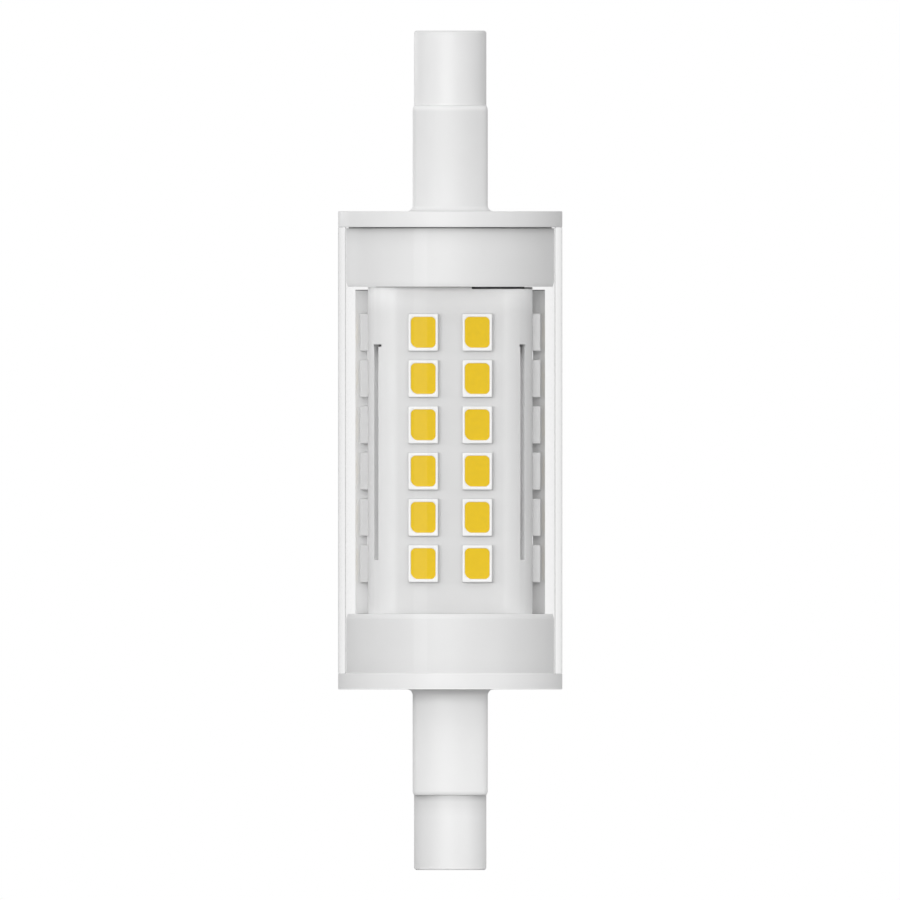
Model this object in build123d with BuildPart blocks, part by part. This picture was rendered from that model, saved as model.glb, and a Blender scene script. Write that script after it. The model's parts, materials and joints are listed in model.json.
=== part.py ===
from build123d import *
from math import sqrt
import os

os.makedirs("parts", exist_ok=True)

# Double-ended linear LED lamp: a clear tube between two moulded end caps, with two folded
# light engines back to back on a driver board inside it. Millimetres; Z runs along the lamp,
# the front faces -Y, and the origin is the middle of the lamp.

# Overall length from pin end to pin end
lamp_length = 78.0

# Clear tube
tube_diameter = 20.84
tube_wall = 0.7

# End cap: round pin, crowned neck, flange and hollow collar in one moulding
pin_diameter = 6.72
pin_length = 6.93
pin_end_chamfer = 0.2
neck_width = 6.98
neck_depth = 7.5
neck_crown_radius = 8.0
neck_corner_round = 0.9
neck_length = 9.85
neck_end_chamfer = 0.22
neck_root_chamfer = 0.3
flange_thickness = 1.48
collar_length = 5.54
collar_wall = 1.0
collar_lead_in = 0.18
collar_lead_in_height = 0.4
collar_clearance = 0.16

# Contact rivet and its stepped seat in the pin
recess_diameter = 4.4
recess_depth = 1.55
recess_lead_in = 0.2
contact_head_diameter = 3.5
contact_head_thickness = 0.6
contact_head_chamfer = 0.12
contact_shank_diameter = 2.0
contact_web = 2.0
contact_tail_diameter = 2.8
contact_tail_thickness = 0.35
contact_clearance = 0.05
wire_bore_diameter = 4.0

# LED packages
led_width = 2.8
led_length = 3.5
led_height = 0.74
led_pitch = 4.3
led_column_spacing = 5.02
led_row_lift = 0.32
led_end_margin = 2.2
led_board_gap = 0.3
led_tube_clearance = 0.595
window_width = 2.32
window_length = 2.88
window_corner = 0.3
window_mark = 0.5
cavity_depth = 0.42
cavity_draft = 12.0
phosphor_drop = 0.06

# Folded LED carriers
carrier_sheet = 1.0
carrier_bend = 2.67
carrier_seat = 0.27
carrier_gap = 0.2
slot_width = 0.55
slot_web_top = 5.16
slot_web_bottom = 5.0
tab_length = 2.0
tab_spacing = 17.0
tab_end_gap = 0.05
tab_clearance = 0.05

# Driver board and the grooved ribs that guide its tongues
board_thickness = 1.0
board_seat = 0.25
board_gap = 0.28
tongue_width = 13.8
tongue_length = 4.6
groove_clearance = 0.08
groove_depth = 0.7
rib_wall = 0.9
rib_height = 3.2

# Leads between the contacts and the board
wire_diameter = 1.2
wire_clearance = 0.02
wire_lap = 2.4

# Smoothing capacitor lying in a window of the board
capacitor_diameter = 6.3
capacitor_length = 11.0
capacitor_crimp_depth = 0.35
capacitor_crimp_height = 1.4
capacitor_lead_diameter = 0.5
capacitor_lead_spacing = 2.5
capacitor_lead_length = 2.0
capacitor_clearance = 0.15
capacitor_drop = 1.6

# Surface-mounted driver parts: width, length along the lamp and height, and the distance of the
# middle below the board's top edge
part_leg_gap = 0.15
bridge_size = (3.9, 4.7, 1.4)
bridge_drop = 6.0
bridge_foot_pitch = 2.5
bridge_foot_count = 2
chip_size = (3.9, 4.9, 1.5)
chip_drop = 5.0
chip_foot_pitch = 1.27
chip_foot_count = 4
diode_size = (2.7, 1.6, 1.1)
diode_drop = 5.5
diode_foot_count = 1
foot_width = 0.6
foot_reach = 0.8
foot_thickness = 0.2
package_draft = 7.0
choke_width = 4.5
choke_height = 4.0
choke_corner = 0.9
choke_edge = 0.3
choke_rise = 0.1
ceramic_size = (4.5, 3.2, 2.0)
ceramic_edge = 0.2
ceramic_drop = 7.0
sense_size = (1.25, 2.0, 0.5)
sense_pitch = 2.8
sense_drop = 15.0

# Fusible resistor on the back of the upper tongue
fuse_diameter = 2.2
fuse_length = 5.8
fuse_cap_diameter = 2.5
fuse_cap_length = 0.9
fuse_clearance = 0.02

# Levels along the lamp
tip_z = lamp_length / 2
neck_z = tip_z - pin_length
flange_z = neck_z - neck_length
floor_z = flange_z - flange_thickness
rim_z = floor_z - collar_length
recess_z = tip_z - recess_depth
head_z = recess_z - contact_head_thickness
web_z = head_z - contact_web
tail_z = web_z - contact_tail_thickness

# Radii of the round walls
tube_radius = tube_diameter / 2
bore_radius = tube_radius - tube_wall
collar_radius = bore_radius - collar_clearance
cup_radius = collar_radius - collar_wall

# Light engine: both carriers and the board stand on the rim of the lower collar
board_face = board_thickness / 2
board_half_width = cup_radius + board_seat
board_top = rim_z - board_gap
board_bottom = -rim_z
board_middle = (board_top + board_bottom) / 2
tongue_end = rim_z + tongue_length
led_side_y = board_face + led_board_gap + led_width / 2
led_reach = bore_radius - led_tube_clearance
carrier_half_width = sqrt(led_reach**2 - (led_side_y + led_width / 2) ** 2) - led_height
carrier_flat = carrier_half_width - carrier_bend
carrier_bend_y = sqrt((cup_radius + carrier_seat - carrier_bend) ** 2 - carrier_flat**2)
carrier_face = carrier_bend_y + carrier_bend
carrier_top = rim_z - carrier_gap
carrier_length = carrier_top + rim_z
carrier_middle = (carrier_top - rim_z) / 2
leg_middle = carrier_half_width - carrier_sheet / 2
led_middle = carrier_middle + led_row_lift
led_rows = 1 + int((carrier_length - 2 * led_end_margin - led_length) / led_pitch)

# Clear tube between the two flanges
with BuildPart() as clear_tube:
    with BuildSketch(Plane.XY.offset(-floor_z)):
        Circle(tube_radius)
        Circle(bore_radius, mode=Mode.SUBTRACT)
    extrude(amount=2 * floor_z)

# Upper end cap
with BuildPart() as upper_end_cap:
    with BuildSketch(Plane.XY.offset(floor_z)):
        Circle(collar_radius)
        Circle(cup_radius, mode=Mode.SUBTRACT)
    extrude(amount=-collar_length)
    collar_rim = upper_end_cap.faces().sort_by(Axis.Z)[0]
    rim_edge = collar_rim.edges().sort_by(SortBy.LENGTH)[-1]
    chamfer(rim_edge, collar_lead_in, collar_lead_in_height, reference=collar_rim)

    with BuildSketch(Plane.XY.offset(floor_z)):
        Circle(tube_radius)
    extrude(amount=flange_thickness)

    neck_side = neck_depth / 2 - neck_crown_radius + sqrt(neck_crown_radius**2 - (neck_width / 2) ** 2)
    with BuildSketch(Plane.XY.offset(flange_z)) as neck_section:
        with BuildLine():
            front_left = (-neck_width / 2, -neck_side)
            front_right = (neck_width / 2, -neck_side)
            back_left = (-neck_width / 2, neck_side)
            back_right = (neck_width / 2, neck_side)
            ThreePointArc(front_left, (0, -neck_depth / 2), front_right)
            Line(front_right, back_right)
            ThreePointArc(back_right, (0, neck_depth / 2), back_left)
            Line(back_left, front_left)
        make_face()
        fillet(neck_section.vertices(), neck_corner_round)
    extrude(amount=neck_length)
    chamfer(upper_end_cap.faces().sort_by(Axis.Z)[-1].edges(), neck_end_chamfer)
    flange_top = upper_end_cap.faces().filter_by(Plane.XY).sort_by(SortBy.AREA)[-1]
    chamfer(flange_top.inner_wires()[0].edges(), neck_root_chamfer)

    with BuildSketch(Plane.XY.offset(flange_z)):
        Circle(pin_diameter / 2)
    extrude(amount=neck_length + pin_length)
    chamfer(upper_end_cap.faces().sort_by(Axis.Z)[-1].edges(), pin_end_chamfer)

    # Stepped bore: lead-in, contact recess, rivet seat, rivet hole and wire passage
    recess_radius = recess_diameter / 2
    head_radius = contact_head_diameter / 2 + contact_clearance
    shank_radius = contact_shank_diameter / 2 + contact_clearance
    with BuildSketch(Plane.XZ):
        with BuildLine():
            Polyline(
                (0, tip_z),
                (recess_radius + recess_lead_in, tip_z),
                (recess_radius, tip_z - recess_lead_in),
                (recess_radius, recess_z),
                (head_radius, recess_z),
                (head_radius, head_z),
                (shank_radius, head_z),
                (shank_radius, web_z),
                (wire_bore_diameter / 2, web_z),
                (wire_bore_diameter / 2, floor_z),
                (0, floor_z),
                close=True,
            )
        make_face()
    revolve(axis=Axis.Z, mode=Mode.SUBTRACT)

    # Grooved ribs inside the cup, one at each side of the board's tongue
    groove_half_width = board_face + groove_clearance
    rib_inner = tongue_width / 2 - groove_depth
    rib_outer = (cup_radius + collar_radius) / 2
    with BuildSketch(Plane.XY.offset(floor_z)):
        with GridLocations(rib_inner + rib_outer, 1, 2, 1):
            Rectangle(rib_outer - rib_inner, 2 * (groove_half_width + rib_wall))
        Rectangle(tongue_width + 2 * groove_clearance, 2 * groove_half_width, mode=Mode.SUBTRACT)
    extrude(amount=-rib_height)

# Lower end cap, the same moulding turned over
with BuildPart() as lower_end_cap:
    add(upper_end_cap.part, rotation=(0, 180, 0))

# Upper contact: a rivet whose head lies level with the floor of the recess
with BuildPart() as upper_contact:
    with BuildSketch(Plane.XZ):
        with BuildLine():
            Polyline(
                (0, recess_z),
                (contact_head_diameter / 2, recess_z),
                (contact_head_diameter / 2, head_z),
                (contact_shank_diameter / 2, head_z),
                (contact_shank_diameter / 2, web_z),
                (contact_tail_diameter / 2, web_z),
                (contact_tail_diameter / 2, tail_z),
                (0, tail_z),
                close=True,
            )
        make_face()
    revolve(axis=Axis.Z)
    chamfer(upper_contact.faces().sort_by(Axis.Z)[-1].edges(), contact_head_chamfer)

with BuildPart() as lower_contact:
    add(upper_contact.part, rotation=(0, 180, 0))

# Upper lead: a stiff wire from the rivet's tail down the front of the board's tongue
lead_y = -(board_face + wire_clearance + wire_diameter / 2)
with BuildPart() as upper_lead:
    with BuildSketch(Plane.XY.offset(tail_z)):
        with Locations((0, lead_y)):
            Circle(wire_diameter / 2)
    extrude(amount=tongue_end - wire_lap - tail_z)

with BuildPart() as lower_lead:
    add(upper_lead.part, rotation=(0, 180, 0))

# Driver board with a tongue at each end, a window for the capacitor and slots for the carriers' tabs
window_half_width = capacitor_diameter / 2 + capacitor_clearance
capacitor_bottom = board_bottom + capacitor_drop
capacitor_top = capacitor_bottom + capacitor_length
with BuildPart() as driver_board:
    with BuildSketch(Plane.XZ) as board_outline:
        with Locations((0, board_middle)):
            Rectangle(2 * board_half_width, board_top - board_bottom)
        Rectangle(tongue_width, 2 * tongue_end)
        with Locations((0, (capacitor_bottom + capacitor_top) / 2)):
            Rectangle(2 * window_half_width, capacitor_length + 2 * capacitor_clearance, mode=Mode.SUBTRACT)
        with Locations((0, capacitor_top + capacitor_lead_length / 2)):
            with GridLocations(capacitor_lead_spacing, 1, 2, 1):
                notch_width = capacitor_lead_diameter + 2 * tab_clearance
                Rectangle(notch_width, capacitor_lead_length, mode=Mode.SUBTRACT)
        with Locations((0, carrier_middle)):
            with GridLocations(2 * leg_middle, tab_spacing, 2, 2):
                slot_size = (carrier_sheet + 2 * tab_clearance, tab_length + 2 * tab_clearance)
                Rectangle(*slot_size, mode=Mode.SUBTRACT)
    extrude(amount=board_face, both=True)

# Front carrier: a sheet folded to a U, slotted along both bends, with tabs into the board
with BuildPart() as front_carrier:
    with BuildSketch(Plane.XY.offset(-rim_z)):
        with BuildLine() as carrier_section:
            FilletPolyline(
                (-carrier_half_width, -board_face),
                (-carrier_half_width, -carrier_face),
                (carrier_half_width, -carrier_face),
                (carrier_half_width, -board_face),
                radius=carrier_bend,
            )
            offset(amount=carrier_sheet, side=Side.LEFT)
        make_face()
    extrude(amount=carrier_length)

    slot_length = carrier_length - slot_web_top - slot_web_bottom
    slot_middle = -rim_z + slot_web_bottom + slot_length / 2
    bend_reach = carrier_bend * sqrt(0.5)
    for side in (-1, 1):
        bend_middle = (side * (carrier_flat + bend_reach), -carrier_bend_y - bend_reach, slot_middle)
        bend_plane = Plane(origin=bend_middle, x_dir=(0, 0, 1), z_dir=(side, -1, 0))
        with BuildSketch(bend_plane):
            Rectangle(slot_length, slot_width)
        extrude(amount=carrier_sheet, both=True, mode=Mode.SUBTRACT)

    with BuildSketch(Plane.XZ.offset(board_face)):
        with Locations((0, carrier_middle)):
            with GridLocations(2 * leg_middle, tab_spacing, 2, 2):
                Rectangle(carrier_sheet, tab_length)
    extrude(amount=tab_end_gap - board_face)

with BuildPart() as rear_carrier:
    add(front_carrier.part, rotation=(0, 0, 180))

# Window of one LED package, with its larger polarity corner at the lower left
with BuildSketch() as led_window:
    Rectangle(window_width, window_length)
    mark_corner = (-window_width / 2, -window_length / 2)
    chamfer(led_window.vertices().sort_by_distance(mark_corner)[1:], window_corner)
    chamfer(led_window.vertices().sort_by_distance(mark_corner)[0], window_mark)

# Seats of the four LED columns on the front carrier, each facing outwards with its Y along the lamp
face_x = led_column_spacing / 2
column_seats = {
    "face_left": Plane((-face_x, -carrier_face, led_middle), x_dir=(1, 0, 0), z_dir=(0, -1, 0)),
    "face_right": Plane((face_x, -carrier_face, led_middle), x_dir=(1, 0, 0), z_dir=(0, -1, 0)),
    "side_left": Plane((-carrier_half_width, -led_side_y, led_middle), x_dir=(0, -1, 0), z_dir=(-1, 0, 0)),
    "side_right": Plane((carrier_half_width, -led_side_y, led_middle), x_dir=(0, 1, 0), z_dir=(1, 0, 0)),
}


def led_places():
    """Places of the packages along one column."""
    return GridLocations(led_width, led_pitch, 1, led_rows)


led_columns = {}
for column, seat in column_seats.items():
    # White housings with a tapered cavity
    with BuildPart() as housings:
        with BuildSketch(seat):
            with led_places():
                Rectangle(led_width, led_length)
        extrude(amount=led_height)
        with BuildSketch(seat.offset(led_height)):
            with led_places():
                add(led_window.sketch)
        extrude(amount=-cavity_depth, taper=cavity_draft, mode=Mode.SUBTRACT)
    # Phosphor that fills each cavity to just below the housing's face
    with BuildPart() as phosphor:
        with BuildSketch(seat.offset(led_height)):
            with led_places():
                add(led_window.sketch)
        extrude(amount=-cavity_depth, taper=cavity_draft)
        split(bisect_by=seat.offset(led_height - phosphor_drop), keep=Keep.BOTTOM)
    led_columns[f"{column}_led_housings"] = housings.part
    led_columns[f"{column}_phosphor"] = phosphor.part

# Smoothing capacitor: a crimped can on the lamp's axis with two leads in the board's notches
capacitor_radius = capacitor_diameter / 2
crimp_z = capacitor_top - capacitor_crimp_height
with BuildPart() as smoothing_capacitor:
    with BuildSketch(Plane.XZ):
        with BuildLine():
            Polyline(
                (0, capacitor_bottom),
                (capacitor_radius, capacitor_bottom),
                (capacitor_radius, crimp_z - capacitor_crimp_depth),
                (capacitor_radius - capacitor_crimp_depth, crimp_z),
                (capacitor_radius, crimp_z + capacitor_crimp_depth),
                (capacitor_radius, capacitor_top),
                (0, capacitor_top),
                close=True,
            )
        make_face()
    revolve(axis=Axis.Z)
    with BuildSketch(Plane.XY.offset(capacitor_top)):
        with GridLocations(capacitor_lead_spacing, 1, 2, 1):
            Circle(capacitor_lead_diameter / 2)
    extrude(amount=capacitor_lead_length)

# Board faces as sketch planes: X across the lamp, Y along it, both measured from the board's top middle
front_face = Plane((0, -board_face, board_top), x_dir=(1, 0, 0), z_dir=(0, -1, 0))
back_face = Plane((0, board_face, board_top), x_dir=(-1, 0, 0), z_dir=(0, 1, 0))

# Moulded packages with feet along two opposite sides: board face, side of the lamp's middle line,
# body size, drop, feet on a side and their pitch
footed_packages = {
    "bridge_rectifier": (front_face, -1, bridge_size, bridge_drop, bridge_foot_count, bridge_foot_pitch),
    "driver_chip": (back_face, -1, chip_size, chip_drop, chip_foot_count, chip_foot_pitch),
    "freewheel_diode": (back_face, 1, diode_size, diode_drop, diode_foot_count, foot_width),
}
leg_inner = carrier_half_width - carrier_sheet - part_leg_gap
driver_parts = {}
for name, (face, side, (width, length, height), drop, foot_count, foot_pitch) in footed_packages.items():
    across = side * (leg_inner - foot_reach - width / 2)
    with BuildPart() as package:
        with BuildSketch(face):
            with Locations((across, -drop)):
                Rectangle(width, length)
        extrude(amount=height, taper=package_draft)
        with BuildSketch(face):
            with Locations((across, -drop)):
                with GridLocations(width, foot_pitch, 2, foot_count):
                    Rectangle(2 * foot_reach, foot_width)
        extrude(amount=foot_thickness)
    driver_parts[name] = package.part

# Choke: a square ferrite block that reaches up into the collar
with BuildPart() as choke:
    with BuildSketch(front_face) as choke_outline:
        with Locations((leg_inner - choke_width / 2, choke_rise)):
            Rectangle(choke_width, choke_width)
        chamfer(choke_outline.vertices(), choke_corner)
    extrude(amount=choke_height)
    chamfer(choke.faces().sort_by(Axis.Y)[0].edges(), choke_edge)

# Ceramic capacitor
with BuildPart() as ceramic_capacitor:
    with BuildSketch(front_face):
        with Locations((leg_inner - ceramic_size[0] / 2, -ceramic_drop)):
            Rectangle(ceramic_size[0], ceramic_size[1])
    extrude(amount=ceramic_size[2])
    chamfer(ceramic_capacitor.faces().sort_by(Axis.Y)[0].edges(), ceramic_edge)

# Pair of current-sense resistors beside the capacitor's window
with BuildPart() as sense_resistors:
    with BuildSketch(back_face):
        with Locations((leg_inner - sense_size[0] / 2, -sense_drop)):
            with GridLocations(sense_size[0], sense_pitch, 1, 2):
                Rectangle(sense_size[0], sense_size[1])
    extrude(amount=sense_size[2])

# Fusible resistor: a barrel with metal end caps, soldered across the back of the upper tongue
fuse_middle = (board_face + fuse_clearance + fuse_cap_diameter / 2, rim_z + tongue_length / 2)
with BuildPart() as fusible_resistor:
    with BuildSketch(Plane.YZ):
        with Locations(fuse_middle):
            Circle(fuse_diameter / 2)
    extrude(amount=fuse_length / 2, both=True)
    for end in (-1, 1):
        with BuildSketch(Plane.YZ.offset(end * fuse_length / 2)):
            with Locations(fuse_middle):
                Circle(fuse_cap_diameter / 2)
        extrude(amount=-end * fuse_cap_length)

# Names of the finished pieces
pieces = {
    "clear_tube": clear_tube.part,
    "upper_end_cap": upper_end_cap.part,
    "lower_end_cap": lower_end_cap.part,
    "upper_contact": upper_contact.part,
    "lower_contact": lower_contact.part,
    "upper_lead": upper_lead.part,
    "lower_lead": lower_lead.part,
    "driver_board": driver_board.part,
    "front_carrier": front_carrier.part,
    "rear_carrier": rear_carrier.part,
    "smoothing_capacitor": smoothing_capacitor.part,
    "choke": choke.part,
    "ceramic_capacitor": ceramic_capacitor.part,
    "sense_resistors": sense_resistors.part,
    "fusible_resistor": fusible_resistor.part,
    **driver_parts,
}
for column, group in led_columns.items():
    with BuildPart() as turned_group:
        add(group, rotation=(0, 0, 180))
    pieces[f"front_{column}"] = group
    pieces[f"rear_{column}"] = turned_group.part

for name, piece in pieces.items():
    piece.label = name
    export_step(piece, f"parts/{name}.step")
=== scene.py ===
import json
from math import radians, tan

import bpy
import numpy as np
from bpy.props import FloatProperty, FloatVectorProperty, PointerProperty
from bpy.types import Operator, Panel, PropertyGroup
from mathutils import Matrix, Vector

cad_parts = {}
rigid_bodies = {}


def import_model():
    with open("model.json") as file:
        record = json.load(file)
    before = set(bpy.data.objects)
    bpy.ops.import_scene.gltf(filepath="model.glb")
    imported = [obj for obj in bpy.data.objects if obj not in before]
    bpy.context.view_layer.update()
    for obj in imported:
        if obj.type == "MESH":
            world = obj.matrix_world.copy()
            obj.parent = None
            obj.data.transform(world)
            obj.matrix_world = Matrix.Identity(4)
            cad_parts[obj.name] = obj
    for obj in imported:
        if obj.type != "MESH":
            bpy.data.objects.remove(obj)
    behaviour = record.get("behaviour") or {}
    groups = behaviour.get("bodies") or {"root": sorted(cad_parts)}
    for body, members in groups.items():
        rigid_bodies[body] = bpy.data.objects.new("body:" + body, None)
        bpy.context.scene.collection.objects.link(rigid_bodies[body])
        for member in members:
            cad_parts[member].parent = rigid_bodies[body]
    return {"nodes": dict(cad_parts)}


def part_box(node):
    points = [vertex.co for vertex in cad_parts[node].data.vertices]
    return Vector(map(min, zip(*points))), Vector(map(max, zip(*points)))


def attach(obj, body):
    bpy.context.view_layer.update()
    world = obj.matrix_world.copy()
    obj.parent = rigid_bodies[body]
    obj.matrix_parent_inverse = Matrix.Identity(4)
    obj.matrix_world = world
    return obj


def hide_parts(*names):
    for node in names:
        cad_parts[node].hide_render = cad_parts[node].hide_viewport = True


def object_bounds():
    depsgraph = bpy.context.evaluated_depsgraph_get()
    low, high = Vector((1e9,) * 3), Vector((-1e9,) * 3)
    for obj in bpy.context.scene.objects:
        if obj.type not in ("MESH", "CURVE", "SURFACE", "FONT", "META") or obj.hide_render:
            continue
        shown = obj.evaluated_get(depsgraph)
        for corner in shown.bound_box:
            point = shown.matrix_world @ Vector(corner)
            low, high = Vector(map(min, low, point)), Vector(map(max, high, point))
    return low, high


bl_info = {
    "name": "Double-ended LED lamp",
    "version": (1, 0, 0),
    "blender": (4, 5, 0),
    "location": "3D View > Sidebar > Lamp",
    "description": "Dresses the packed lamp with its mouldings, light engines, finishes and studio",
    "category": "Object",
}

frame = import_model()
cad_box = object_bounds()

MM = 0.001
UP = np.array((0.0, 0.0, 1.0))
TUBE_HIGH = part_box("clear_tube")[1]
CAP_LOW, CAP_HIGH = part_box("upper_end_cap")
BOARD_LOW, BOARD_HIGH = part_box("driver_board")
CARRIER_LOW, CARRIER_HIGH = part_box("front_carrier")

# Least step between two rings, radius of a turned piece's flat pole, and reach of a weld
HAIR, POLE, WELD = 0.01 * MM, 0.05 * MM, 0.002 * MM
# Points round the tube, the caps and the rivets
TUBE_POINTS, CAP_POINTS, RIVET_POINTS = 256, 288, 96
# Points of a carrier's section on a tab and on each part of a fold
LEG_POINTS, FOLD_POINTS = 2, 7
# Depths of a slot's floor at its upper end, as shares of the sheet
SLOT_SINK = (0.72, 0.8)
# Steps and fullness of an eased corner, and rings of a housing's outer wall
CORNER_STEPS, CORNER_PULL, WALL_RINGS = 7, 0.55, 4
# Where an edge's rounding has its middle ring, and where the phosphor's skin has its rings
EDGE_BOW, SKIN_RINGS = 0.3, (0.9, 0.75, 0.5, 0.2)

# Middle of a noise's range, and the usual grain: scale, detail, depth and strength
NOISE = (0.3, 0.7)
FINE_GRAIN = (9000.0, 3.0, 0.004 * MM, 0.5)
# Painted shade on the board's coat from left to right and near its top, and painted light on a carrier's coat up to
# its top edge
MASK_PAINTED_SIDE_SHADE, MASK_PAINTED_TOP_SHADE, COAT_PAINTED_TOP_LIGHT = (1.02, 0.82), (1.14, 1.0), (1.0, 1.22)

# Tint of the tube's skins, as pairs of turn from the ray and share of the colour
BORE_TINT = ((0.52, 1.0), (0.62, 0.987), (0.74, 0.975), (0.84, 0.958), (0.88, 0.88), (0.92, 0.56), (1.0, 0.3))
SKIN_TINT = ((0.63, 1.0), (0.67, 0.972), (0.84, 0.945), (1.0, 0.85))

# Painted light and shade on the caps' plastic in bands along the lamp, as pairs of place in the band and share of
# the colour
# Painted shade on the upper collar below its flange, darkest in the groove at its root
ROOT_PAINTED_SHADE = (
    (0.0, 1.0), (0.3, 0.975), (0.5, 0.945), (0.65, 0.92), (0.775, 0.85), (0.86, 0.76), (0.94, 0.60), (0.95, 0.16),
    (0.99, 0.16), (1.0, 1.0),
)
# Painted shadow on the lower pin below its neck's end
PIN_PAINTED_SHADOW = (
    (0.0, 1.0), (0.3, 0.97), (0.5, 0.93), (0.7, 0.905), (0.8, 0.84), (0.9, 0.75), (0.95, 0.73), (0.99, 0.73),
    (1.0, 1.0),
)
# Painted light on the lower collar's bevel
RIM_PAINTED_LIGHT = ((0.0, 1.0), (0.05, 1.06), (0.95, 1.06), (1.0, 1.0))
# Painted shade on the lower collar, deepest next to its flange
LOW_COLLAR_PAINTED_SHADE = ((0.0, 1.0), (0.008, 0.87), (0.05, 0.88), (0.14, 0.915), (0.27, 0.95), (0.99, 0.967), (1.0, 1.0))
# Painted highlight along the lower edge of the lower flange
LOW_EDGE_PAINTED_HIGHLIGHT = ((0.0, 1.0), (0.02, 1.14), (0.6, 1.12), (1.0, 1.0))
# Painted light on the lower pin's rounded end
PIN_END_PAINTED_LIGHT = ((0.0, 1.24), (0.35, 1.24), (0.8, 1.04), (1.0, 1.0))
# Painted light at the upper neck's root and end, and painted shade over the rest of it
NECK_PAINTED_LIGHT_AND_SHADE = (
    (0.0, 1.0), (0.005, 1.09), (0.02, 1.06), (0.055, 0.92), (0.94, 0.92), (0.97, 1.04), (0.99, 1.04), (1.0, 1.0),
)

# Studio: camera, floor, spot on the lower end, and the stretches of each axis over which the room's light changes
WHITE = (1.0, 1.0, 1.0, 1.0)
CAMERA_PLACE = Vector((-0.019 * MM, -0.5, 0.028 * MM))
FLOOR_HALF, FLOOR_GAP = 1.0, 0.05 * MM
FILL_PLACE, FILL_AIM = Vector((0.383, -0.321, 0.0)), Vector((0.0, 0.0, -36.0 * MM))
FILL_RADIUS, FILL_CONE = 0.02, radians(5.4)
SIDE_SPAN, DEPTH_SPAN, HEIGHT_SPAN = (-0.2, 1.0), (-0.3, 0.8), (0.25, 0.9)


# Properties


def length(millimetres, description):
    """A length property whose default is given in millimetres."""
    return FloatProperty(
        description=description, default=millimetres * MM, min=0.0, precision=5, unit="LENGTH", subtype="DISTANCE"
    )


def angle(degrees, description):
    """An angle property whose default is given in degrees."""
    return FloatProperty(description=description, default=radians(degrees), unit="ROTATION", subtype="ANGLE")


def colour(rgb, description):
    """A colour property in linear light."""
    return FloatVectorProperty(description=description, default=rgb, size=3, min=0.0, max=1.0, subtype="COLOR")


def grey(tone, description):
    """A colour property whose default is a neutral tone."""
    return colour((tone, tone, tone), description)


def level(value, description):
    """A light level, or a share of one."""
    return FloatProperty(description=description, default=value, min=0.0)


def power(watts, description):
    """The power of a lamp."""
    return FloatProperty(description=description, default=watts, min=0.0, unit="POWER")


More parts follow.
